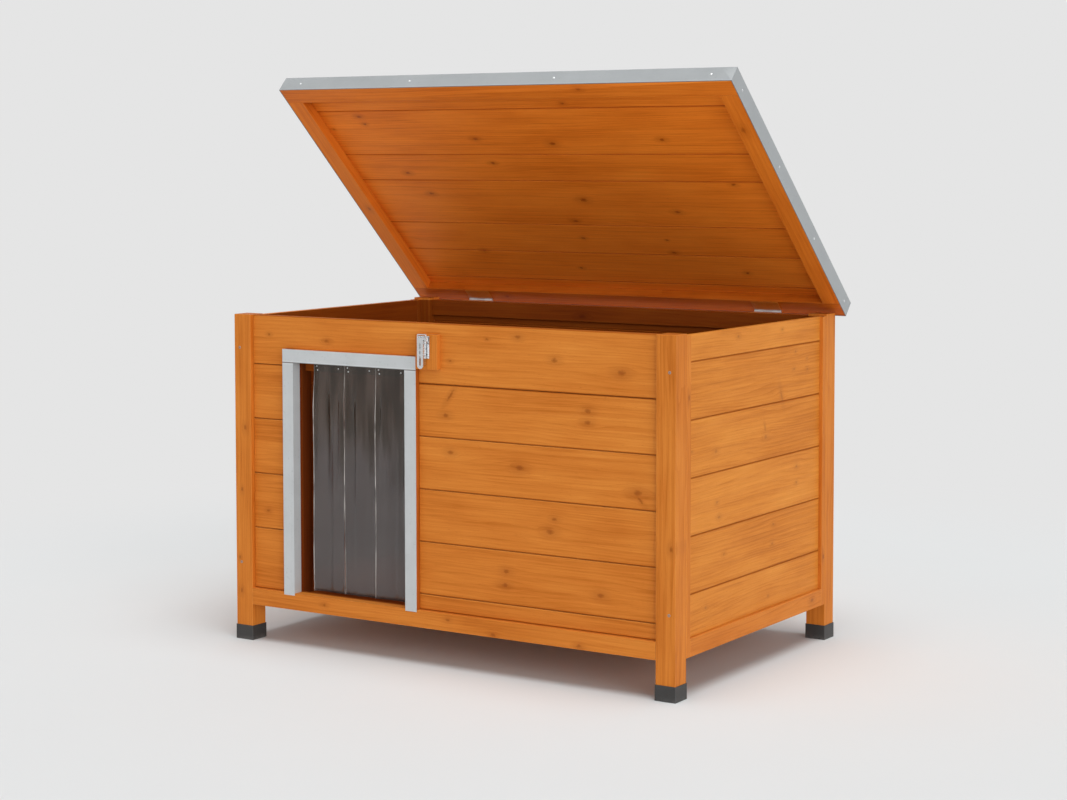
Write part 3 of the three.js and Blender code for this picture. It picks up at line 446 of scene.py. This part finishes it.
def metal(name, tones, rough, along=(1, 1, 1), shut=False, bump=0.00004, seam=None, painted=False, metallic=1.0):
    """Sheet or forged metal between two colours, drawn out along its length, dull in patches.
    seam is a height where a painted shadow line darkens a joint or the gap under a hem, with a painted highlight on
    the band beside it. A painted hinge leaf has its plate coloured like the stained wood."""
    low, high = tones
    material, t, shader = new_material(name, Metallic=metallic)
    point, place, normal = place_in_mm(t, shut)
    fine = t.noise(t.vector("MULTIPLY", point, along), 3.0, 0.6, 0.55)
    cloud = t.noise(point, 3.0, 0.55, 0.022)
    spots = t.step(t.noise(point, 2.0, 0.5, 0.21), 0.62, 0.76)
    value = t.math("ADD", t.math("ADD", t.spread(fine, 0.5), t.spread(cloud, 1.1)), 0.5, clamp=True)
    colour = t.mix(value, low, high)
    colour = t.mix(t.math("MULTIPLY", spots, 0.22), colour, tone(low, 0.55))
    colour = t.mix(t.math("MULTIPLY", worn_edge(t, normal), 0.5), colour, tone(high, 1.25))
    if seam is not None:
        off = t.math("ABSOLUTE", t.math("SUBTRACT", place[2], seam))
        # painted highlight on the band beside a seam, and a painted shadow line in the seam itself
        colour = t.mix(t.math("MULTIPLY", t.step(off, 4.2, 2.2), 0.6), colour, tone(high, 1.12))
        colour = t.mix(t.math("MULTIPLY", t.step(off, 1.7, 0.5), 0.75), colour, SEAM_PAINTED_SHADOW)
    if painted:
        plate = t.step(t.math("SUBTRACT", HINGE.y / MM, place[1]), LEAF_KNUCKLES, LEAF_PLATE)
        colour = t.mix(plate, colour, t.mix(cloud, *STAIN_FILM))
        t.feed(shader, {"Metallic": t.math("SUBTRACT", 1.0, plate)})
    roughness = t.math("ADD", t.spread(cloud, 0.24), t.spread(fine, 0.10))
    roughness = t.math("ADD", roughness, t.math("MULTIPLY_ADD", spots, 0.10, rough))
    height = t.math("ADD", t.math("MULTIPLY", fine, 0.6), cloud)
    t.feed(shader, {"Base Color": colour, "Roughness": roughness, "Normal": t.bump(height, bump)})
    return material


DOOR_TRIM = ((0.500, 0.520, 0.528), (0.600, 0.620, 0.628))
ROOF_TRIM = ((0.322, 0.340, 0.348), (0.394, 0.411, 0.420))
ZINC = ((0.60, 0.61, 0.62), (0.78, 0.79, 0.80))
DULL_ZINC = ((0.26, 0.25, 0.24), (0.40, 0.38, 0.36))
LONG = {"X": (0.03, 1, 1), "Y": (1, 0.03, 1), "Z": (1, 1, 0.03)}  # draws a texture out along an axis
HEM, DOOR_SEAM = 650.3, 559.9  # heights in mm of the roof trims' lower hem and of the joint under the door's top trim, where painted shadow lines lie
for part, lengths, tones, shut, seam in (
    ("roof_trim", {"front": "X", "rear": "X", "left": "Y", "right": "Y"}, ROOF_TRIM, True, HEM),
    ("door_trim", {"top": "X", "left": "Z", "right": "Z"}, DOOR_TRIM, False, DOOR_SEAM),
):
    for side, axis in lengths.items():
        node = f"{part}_{side}"
        trim = metal("edge_metal_" + node, tones, 0.50, LONG[axis], shut, seam=seam, metallic=0.2)
        NODES[node].material_slots[0].material = trim
        soften_edges(node, 0.0003)

DULL_STEEL = metal("dull_zinc_steel", DULL_ZINC, 0.42, bump=0.00003)
STEEL = metal("zinc_steel", ZINC, 0.30, bump=0.00003)
for node in ("latch_base", "latch_lever", "latch_loop"):
    NODES[node].material_slots[0].material = STEEL
LEAF_STEEL = {}
for body, shut in (("body", False), ("roof", True)):
    LEAF_STEEL[body] = metal("hinge_steel_" + body, ZINC, 0.34, shut=shut, painted=True)
    for side in SIDES:
        NODES[f"hinge_leaf_{body}_{side}"].material_slots[0].material = LEAF_STEEL[body]


def plastic():
    """Black moulded plastic, dull, with a fine grain, scuffs and floor dust low down."""
    material, t, shader = new_material("black_plastic", Specular_IOR_Level=0.45)
    point, place, normal = place_in_mm(t)
    grain = t.noise(point, 2.0, 0.6, 1.4)
    cloud = t.noise(point, 3.0, 0.6, 0.07)
    scuff = t.step(t.noise(t.vector("MULTIPLY", point, (0.05, 0.05, 0.7)), 3.0, 0.7), 0.60, 0.72)
    dust = t.math("MULTIPLY", t.step(place[2], 11.0, 0.0), t.step(cloud, 0.30, 0.70))
    colour = t.mix(cloud, (0.026, 0.025, 0.024), (0.046, 0.044, 0.043))
    colour = t.mix(t.math("MULTIPLY", scuff, 0.35), colour, (0.100, 0.098, 0.095))
    colour = t.mix(t.math("MULTIPLY", dust, 0.30), colour, (0.210, 0.200, 0.185))
    colour = t.mix(t.math("MULTIPLY", worn_edge(t, normal), 0.5), colour, (0.110, 0.106, 0.102))
    roughness = t.math("ADD", t.spread(cloud, 0.24), t.math("MULTIPLY_ADD", dust, 0.18, 0.48))
    t.feed(shader, {"Base Color": colour, "Roughness": roughness, "Normal": t.bump(grain, 0.00012)})
    return material


BLACK = plastic()
for node in (f"foot_cap_{end}_{side}" for end in ENDS for side in SIDES):
    NODES[node].material_slots[0].material = BLACK
    soften_edges(node, 0.0008)


def felt_material():
    """Roofing felt: mineral chips in bitumen, which lies bare in small patches."""
    material, t, shader = new_material("roof_felt_chips", Specular_IOR_Level=0.4)
    point = place_in_mm(t, True)[0]
    chips = t.node("TexVoronoi", {"Vector": point, "Scale": 0.75, "Randomness": 1.0}).outputs
    cloud = t.noise(point, 4.0, 0.6, 0.010)
    shade = t.split(chips["Color"])[0]
    colour = t.mix(shade, (0.040, 0.043, 0.046), (0.150, 0.155, 0.158))
    colour = t.mix(t.step(shade, 0.93, 0.96), colour, (0.300, 0.305, 0.300))
    colour = t.mix(t.step(cloud, 0.35, 0.70, 0.0, 0.35), colour, (0.055, 0.060, 0.055))
    bald = t.step(t.noise(point, 3.0, 0.6, 0.05), 0.64, 0.74, 0.0, 0.7)
    colour = t.mix(bald, colour, (0.020, 0.020, 0.021))
    roughness = t.math("ADD", t.spread(shade, 0.2), 0.82)
    height = t.math("SUBTRACT", 1.0, chips["Distance"])
    t.feed(shader, {"Base Color": colour, "Roughness": roughness, "Normal": t.bump(height, 0.0006)})
    return material


# ---- small fittings -------------------------------------------------------------------------------

def add_object(name, data):
    made = bpy.data.objects.new(name, data)
    SCENE.collection.objects.link(made)
    return made


def new_piece(name, bm, material, body=None):
    """A new piece of the object, riding on a CAD body."""
    mesh = bpy.data.meshes.new(name)
    bmesh.ops.recalc_face_normals(bm, faces=bm.faces)
    bm.to_mesh(mesh)
    bm.free()
    mesh.materials.append(material)
    made = add_object(name, mesh)
    if body:
        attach(made, body)
    return made


def thicken(piece, thickness):
    """Gives a sheet its thickness, half to each side."""
    thick = piece.modifiers.new("thickness", "SOLIDIFY")
    thick.thickness, thick.offset = thickness, 0


def lathe(bm, rings, angles, matrix):
    """A closed body of rings, each a height and a radius, which may change with the angle."""
    loops = []
    for height, radius in rings:
        sizes = [radius(a) if callable(radius) else radius for a in angles]
        corners = (Vector((r * math.cos(a), r * math.sin(a), height)) for r, a in zip(sizes, angles))
        loops.append([bm.verts.new(matrix @ corner) for corner in corners])
    count = len(angles)
    for low, high in zip(loops, loops[1:]):
        for i in range(count):
            bm.faces.new((low[i], low[(i + 1) % count], high[(i + 1) % count], high[i]))
    bm.faces.new(loops[0])
    bm.faces.new(loops[-1])


def facing(point, normal, turn):
    """The matrix of a fitting at a point of a surface, its own Z along the surface's normal."""
    upright = Vector(normal).to_track_quat("Z", "Y").to_matrix().to_4x4()
    return Matrix.Translation(point) @ upright @ Matrix.Rotation(turn, 4, "Z")


CROSS_HALF, CROSS_REACH = 0.15, 0.56  # of the screw head's radius


def screw(bm, radius, matrix):
    """A countersunk cross-head screw."""
    tip = math.atan(CROSS_HALF / CROSS_REACH)
    quarter = (-tip, 0, tip, math.pi / 8 + 0.1, math.pi / 4, math.pi * 3 / 8 - 0.1)
    angles = [number * math.pi / 2 + a for number in range(4) for a in quarter]

    def cross(angle):
        a = abs((angle + math.pi / 4) % (math.pi / 2) - math.pi / 4)
        return radius * min(CROSS_REACH / math.cos(a), CROSS_HALF / max(math.sin(a), 1e-6))

    rings = [(-0.9 * radius, 0.35 * radius), (-0.0002, radius), (0.00015, radius * 0.98), (0.0004, radius * 0.8),
             (0.0004, cross), (-0.4 * radius, lambda a: 0.6 * cross(a))]
    lathe(bm, rings, angles, matrix)


def nail(bm, radius, matrix):
    """A nail's domed head on a short stub of shank."""
    angles = [k * math.pi / 8 for k in range(16)]
    dome = [(0.25 * radius, 0.95 * radius), (0.42 * radius, 0.7 * radius), (0.5 * radius, 0.35 * radius)]
    lathe(bm, [(-2.2 * radius, 0.3 * radius), (-0.0001, 0.32 * radius), (0.0, radius)] + dome, angles, matrix)


def fittings(name, make, radius, places, body, through=Matrix(), material=None):
    """One piece of many screws or nails: places are a point in millimetres and the way they face."""
    draw = random.Random(name)
    bm = bmesh.new()
    for point, normal in places:
        make(bm, radius, through @ facing(Vector(point) * MM, normal, draw.uniform(0, math.pi)))
    new_piece(name, bm, material or STEEL, body)


UP, DOWN, TO_FRONT = (0, 0, 1), (0, 0, -1), (0, -1, 0)

POST_SCREW_X, POST_SCREW_HEIGHTS = 487, (584, 155)
front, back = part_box("leg_front_right")[0].y / MM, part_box("leg_rear_right")[1].y / MM
post_screws = [((x, y, z), (0, way, 0)) for y, way in ((front, -1), (back, 1))
               for x in (-POST_SCREW_X, POST_SCREW_X) for z in POST_SCREW_HEIGHTS]
fittings("post_screws", screw, 0.0028, post_screws, "house", material=DULL_STEEL)

HINGE_MIDDLES, LEAF_SCREW_STEPS, LEAF_SCREW_INSET = (-350, 350), (-21, 0, 21), 7
LEAF_TOP, LEAF_UNDER = 646.5, 649.1  # of the lower leaves' upper faces and of the upper leaves' under faces
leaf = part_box("hinge_leaf_body_left")[0].y / MM + LEAF_SCREW_INSET
hinge_screws = [middle + step for middle in HINGE_MIDDLES for step in LEAF_SCREW_STEPS]
fittings("hinge_screws_body", screw, 0.0030, [((x, leaf, LEAF_TOP), UP) for x in hinge_screws],
         "house", material=LEAF_STEEL["body"])
fittings("hinge_screws_roof", screw, 0.0030, [((x, leaf, LEAF_UNDER), DOWN) for x in hinge_screws],
         "roof", ROOF_OPEN, LEAF_STEEL["roof"])
fittings("latch_screws", screw, 0.0022, [((-27.4, -338.3, z), TO_FRONT) for z in (589, 603)], "house")

ROOF_FRONT, ROOF_BACK, ROOF_SIDE, FLANGE_TOP = -342.8, 327.2, 518.0, 684.4
TRIM_NAIL_HEIGHT, FLANGE_NAIL_INSET = 667, 12
trim_nails = [((x, y, TRIM_NAIL_HEIGHT), (0, way, 0))
              for y, way in ((ROOF_FRONT, -1), (ROOF_BACK, 1)) for x in (-471, -199, 136, 471)]
trim_nails += [((way * ROOF_SIDE, y, TRIM_NAIL_HEIGHT), (way, 0, 0))
               for way in (-1, 1) for y in (-300, -95, 110, 300)]
trim_nails += [((x, y, FLANGE_TOP), UP) for y in (ROOF_FRONT + FLANGE_NAIL_INSET, ROOF_BACK - FLANGE_NAIL_INSET)
               for x in (-440, -264, -88, 88, 264, 440)]
trim_nails += [((way * (ROOF_SIDE - FLANGE_NAIL_INSET), y, FLANGE_TOP), UP)
               for way in (-1, 1) for y in (-250, -83, 83, 250)]
fittings("roof_trim_nails", nail, 0.0024, trim_nails, "roof", ROOF_OPEN)


# ---- roofing felt ---------------------------------------------------------------------------------

FELT_LOW, FELT_THICK, FELT_LAP = 681.1, 0.9, 60.0  # height of its under face, thickness and lap in mm
FELT_CLIMB, FELT_GAP = 14, 0.15  # mm over which the upper sheet climbs on to the lower one, and air between them
(felt_x0, felt_x1), (felt_y0, felt_y1) = extent("roof_felt", "XYZ", True)
FELT = felt_material()


def smooth(value, low, high):
    """0 below low, 1 above high, a smooth step between."""
    t = min(1.0, max(0.0, (value - low) / (high - low)))
    return t * t * (3 - 2 * t)


def felt_sheet(name, y0, y1, lap_end=None):
    """A sheet of felt over the roof's whole width, y0 to y1, with slow waves.
    In front of lap_end it lies on the other sheet."""
    draw = random.Random(name)
    phase = [draw.uniform(0, 6.28) for _ in range(4)]
    bm = bmesh.new()
    columns, rows = 90, 36
    grid = []
    for j in range(rows + 1):
        y = y0 + (y1 - y0) * j / rows
        line = []
        for i in range(columns + 1):
            x = felt_x0 + (felt_x1 - felt_x0) * i / columns
            rise = 0.10 + 0.09 * math.sin(x / 61 + phase[0]) * math.sin(y / 47 + phase[1])
            rise += 0.05 * math.sin(x / 23 + y / 31 + phase[2])
            if lap_end is not None:
                rise += (FELT_THICK + FELT_GAP) * smooth(lap_end - y, -FELT_CLIMB, 0)
            place = Vector((x, y, FELT_LOW + max(0.0, rise) + FELT_THICK / 2))
            line.append(bm.verts.new(ROOF_OPEN @ (place * MM)))
        grid.append(line)
    for a, b in zip(grid, grid[1:]):
        for i in range(columns):
            bm.faces.new((a[i], a[i + 1], b[i + 1], b[i])).smooth = True
    made = new_piece(name, bm, FELT, "roof")
    thicken(made, FELT_THICK * MM)
    return made


middle = (felt_y0 + felt_y1) / 2
felt_front = felt_sheet("felt_lower_sheet", felt_y0, middle + FELT_LAP / 2)
felt_sheet("felt_upper_sheet", middle - FELT_LAP / 2, felt_y1, middle + FELT_LAP / 2)
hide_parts("roof_felt")
FELT_NAIL_INSET = 14
nail_height = FELT_LOW + 2 * FELT_THICK + 0.25
felt_nails = [((x, middle - FELT_LAP / 2 + FELT_NAIL_INSET, nail_height), UP) for x in range(-460, 461, 92)]
fittings("felt_nails", nail, 0.0038, felt_nails, "roof", ROOF_OPEN)


# ---- strip curtain --------------------------------------------------------------------------------

STRIP_WIDTH, STRIP_THICK = 0.0748, 0.0012
STRIP_STEP = 0.1  # from one strip's place in the texture to the next one's
STRIPS = (1, 2, 3)


def curtain_material():
    """Soft plastic over a dark room: brown where it is clearest, milky lower down where the dog pushes through.
    The cut edges carry a painted highlight. The texture is laid on the flat strips, in metres."""
    material, t, shader = new_material("clear_plastic_strip", IOR=1.5, Specular_IOR_Level=0.5)
    place = t.node("UVMap", uv_map="flat").outputs[0]
    width, drop, _ = t.split(place)

    def drawn_out(shape, scale, roughness=0.6):
        return t.noise(t.vector("MULTIPLY", place, shape), 2.0, roughness, scale)

    in_strip = t.math("MULTIPLY", t.math("FRACT", t.math("MULTIPLY", width, 1 / STRIP_STEP)), STRIP_STEP)
    # painted highlight along each strip's cut edges, where it also lets less light through
    left_edge = t.step(in_strip, 0.0017, 0.0008)
    right_edge = t.math("MULTIPLY", t.step(in_strip, STRIP_WIDTH - 0.0014, STRIP_WIDTH - 0.0006), 0.35)
    edge = t.math("MAXIMUM", left_edge, right_edge)
    edge = t.math("MULTIPLY", edge, t.step(drawn_out((0.0, 1.0, 0.0), 16.0), 0.30, 0.62, 0.35, 1.0))
    scratch = t.step(drawn_out((1.0, 0.03, 1.0), 330.0), 0.62, 0.80)
    band = drawn_out((1.0, 0.12, 1.0), 44.0, 0.5)
    cloud = t.noise(place, 3.0, 0.5, 11.0)
    uneven = t.math("ADD", t.spread(cloud, 0.10), t.spread(band, 0.26))
    used = t.step(t.math("ADD", drop, uneven), 0.10, 0.24)
    top = t.mix(t.step(band, 0.35, 0.66), (0.090, 0.055, 0.025), (0.230, 0.172, 0.130))
    low = t.mix(t.step(cloud, 0.30, 0.70), (0.235, 0.206, 0.199), (0.275, 0.245, 0.236))
    colour = t.mix(used, top, low)
    colour = t.mix(t.math("MULTIPLY", scratch, 0.05), colour, (0.62, 0.60, 0.58))
    colour = t.mix(edge, colour, (0.74, 0.69, 0.65))
    roughness = t.math("MULTIPLY_ADD", scratch, 0.03, t.spread(cloud, 0.04))
    roughness = t.math("ADD", t.math("MULTIPLY_ADD", used, 0.05, 0.09), roughness, clamp=True)
    t.feed(shader, {"Base Color": colour, "Roughness": roughness, "Normal": t.bump(band, 0.0005, 0.4),
                    "Transmission Weight": t.math("MULTIPLY_ADD", edge, -0.60, 0.76)})
    return material


CLEAR = curtain_material()
header_low, header_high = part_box("curtain_header")
FULL_TURN = 6.283
WAVES = {1: (0.10, 0.62, 0.35), 2: (0.55, 0.15, 0.80), 3: (0.83, 0.40, 0.05)}  # where each strip's three waves start
PINNED_TO, FREE_FROM = 0.034, 0.115  # metres below the top, between which the folds grow
FOLDED_TO, FLAT_FROM = 0.17, 0.34  # and between which they fade
CURL_REACH = 0.006


def curtain_strip(number):
    """One hanging strip: pinned flat at its top, folded below that and nearly flat lower down.
    Its edges curl forward."""
    low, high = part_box(f"curtain_strip_{number}")
    drop_length = header_high.z - low.z
    plane, centre = (low.y + high.y) / 2, (low.x + high.x) / 2
    first, second, third = WAVES[number]
    bm = bmesh.new()
    flat = bm.loops.layers.uv.new("flat")
    columns, rows = 48, 90
    run = STRIP_WIDTH / columns
    grid, laid = [], {}
    for j in range(rows + 1):
        drop = drop_length * j / rows
        free = smooth(drop, PINNED_TO, FREE_FROM)
        fold = free * (0.0026 - 0.0016 * smooth(drop, FOLDED_TO, FLAT_FROM))
        curl = free * (0.0022 + 0.0012 * math.sin(drop * 19 + first * 6))
        sway = -0.0008 * free
        drift = drop * 1.3

        def forward(u):
            edge = math.exp(-u * STRIP_WIDTH / CURL_REACH) + math.exp(-(1 - u) * STRIP_WIDTH / CURL_REACH)
            wave = math.sin(FULL_TURN * (1.35 * u + first + 0.25 * drift))
            wave += 0.45 * math.sin(FULL_TURN * (2.9 * u + second - 0.5 * drift))
            wave += 0.22 * math.sin(FULL_TURN * (5.3 * u + third + drift))
            return -(fold * wave + curl * edge)

        us = [i / columns for i in range(columns + 1)]
        ys = [forward(u) for u in us]
        xs = [0.0]
        for before, after in zip(ys, ys[1:]):
            xs.append(xs[-1] + math.sqrt(max(run * run - (after - before) ** 2, (run * 0.2) ** 2)))
        fill = STRIP_WIDTH / xs[-1]  # the folds never draw a strip narrower
        line = []
        for u, x, y in zip(us, xs, ys):
            vertex = bm.verts.new((centre + (x - xs[-1] / 2) * fill, plane + y + sway, header_high.z - drop))
            laid[vertex] = (min(u, 0.9999) * STRIP_WIDTH + STRIP_STEP * number + 1e-5, drop)
            line.append(vertex)
        grid.append(line)
    for a, b in zip(grid, grid[1:]):
        for i in range(columns):
            face = bm.faces.new((a[i], b[i], b[i + 1], a[i + 1]))
            face.smooth = True
            for loop in face.loops:
                loop[flat].uv = laid[loop.vert]
    made = new_piece(f"clear_strip_{number}", bm, CLEAR)
    thicken(made, STRIP_THICK)
    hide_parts(f"curtain_strip_{number}")
    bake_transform(made)
    return made


strips = [curtain_strip(n) for n in STRIPS]
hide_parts("curtain_header")
strip_front = (header_low.y + header_high.y) / 2 / MM - STRIP_THICK / 2 / MM
pins = [((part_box(f"curtain_strip_{n}")[0].x / MM + across, strip_front, z), TO_FRONT)
        for n in STRIPS for across, z in ((7, 552), (9, 544.5), (60, 549))]
fittings("curtain_nails", nail, 0.0015, pins, "house")


# ---- floor, background, light, camera -------------------------------------------------------------

FLOOR_COLOUR, FLOOR_UNEVEN = (0.752, 0.770, 0.776), 0.006
FLOOR_HALF = 40.0
BACKGROUND = (0.783, 0.783, 0.783)
FLOOR_ENDS, BACKGROUND_STARTS = 1100.0, 2300.0  # mm from the middle of the house


def seen_ray(t):
    """1 for what the camera, a reflection or a clear sheet sees, 0 for the light that falls on surfaces."""
    rays = t.node("LightPath").outputs
    seen = t.math("ADD", rays["Is Camera Ray"], rays["Is Glossy Ray"])
    return t.math("ADD", seen, rays["Is Transmission Ray"], clamp=True)


def floor():
    """A plain pale floor that keeps the shadow near the object and runs into the background further out."""
    material, t, shader = new_material("studio_floor", Specular_IOR_Level=0.0)
    point = place_in_mm(t)[0]
    cloud = t.noise(point, 2.0, 0.5, 0.004)
    colour = t.mix(cloud, *(tuple(c + way * FLOOR_UNEVEN for c in FLOOR_COLOUR) for way in (-1, 1)))
    t.feed(shader, {"Base Color": colour, "Roughness": t.math("MULTIPLY_ADD", cloud, 0.1, 0.85)})
    glow = t.node("Emission", {"Color": BACKGROUND, "Strength": 1.0}).outputs[0]
    far = t.step(t.vector("LENGTH", point), FLOOR_ENDS, BACKGROUND_STARTS)
    mixed = t.node("MixShader", {0: t.math("MULTIPLY", far, seen_ray(t)), 1: shader.outputs[0], 2: glow}).outputs[0]
    t.feed(t.tree.nodes["Material Output"], {"Surface": mixed})
    mesh = bpy.data.meshes.new("floor")
    corners = [(x * FLOOR_HALF, y * FLOOR_HALF, 0) for x, y in ((-1, -1), (1, -1), (1, 1), (-1, 1))]
    mesh.from_pydata(corners, [], [(0, 1, 2, 3)])
    mesh.materials.append(material)
    add_object("floor", mesh)


def studio():
    """A dome of soft light, brighter near the horizon, behind a plain pale background."""
    world = bpy.data.worlds.new("studio")
    world.use_nodes = True
    world.node_tree.nodes.clear()
    SCENE.world = world
    t = Tree(world.node_tree)
    height = t.split(t.node("TexCoord").outputs["Generated"])[2]
    strength = t.step(height, 0.0, 1.0, 0.50, 0.27)
    dome = t.node("Background", {"Color": (1.0, 1.0, 1.0), "Strength": strength}).outputs[0]
    plain = t.node("Background", {"Color": BACKGROUND, "Strength": 1.0}).outputs[0]
    t.node("OutputWorld", {"Surface": t.node("MixShader", {0: seen_ray(t), 1: dome, 2: plain}).outputs[0]})


def soft_sun(name, energy, angle, towards):
    """A wide far light that shines from a direction."""
    light = bpy.data.lights.new(name, "SUN")
    light.energy, light.angle = energy, math.radians(angle)
    made = add_object(name, light)
    made.rotation_mode = "QUATERNION"
    made.rotation_quaternion = Vector(towards).to_track_quat("Z", "Y")


floor()
studio()
soft_sun("overhead", 1.95, 45, (0.14, -0.10, 0.98))
soft_sun("front_fill", 2.45, 55, (0.79, -0.61, 0.02))

# The photograph is 1067 pixels wide and 800 high. Its view axis lies 100 pixels above the middle.
WIDTH, FOCAL, AXIS_ABOVE_MIDDLE = 1067, 2221.634, 100
SENSOR_MM = 36
YAW, PITCH, ROLL = 0.570309, 0.064730, -0.000966
CAMERA_PLACE = (2.37192, -3.71353, 0.96175)
camera_data = bpy.data.cameras.new("camera")
camera_data.sensor_width = SENSOR_MM
camera_data.lens = FOCAL * SENSOR_MM / WIDTH
camera_data.shift_y = -AXIS_ABOVE_MIDDLE / WIDTH
camera_data.clip_end = 200
camera = add_object("camera", camera_data)
bpy.context.scene.camera = camera
ahead = Vector((-math.sin(YAW) * math.cos(PITCH), math.cos(YAW) * math.cos(PITCH), -math.sin(PITCH)))
right = Vector((math.cos(YAW), math.sin(YAW), 0))
up = right.cross(ahead)
level_right = math.cos(ROLL) * right + math.sin(ROLL) * up
level_up = -math.sin(ROLL) * right + math.cos(ROLL) * up
turned = Matrix((level_right, level_up, -ahead)).transposed().to_4x4()
camera.matrix_world = Matrix.Translation(CAMERA_PLACE) @ turned

bpy.context.scene.view_settings.view_transform = "Standard"

bpy.context.view_layer.update()
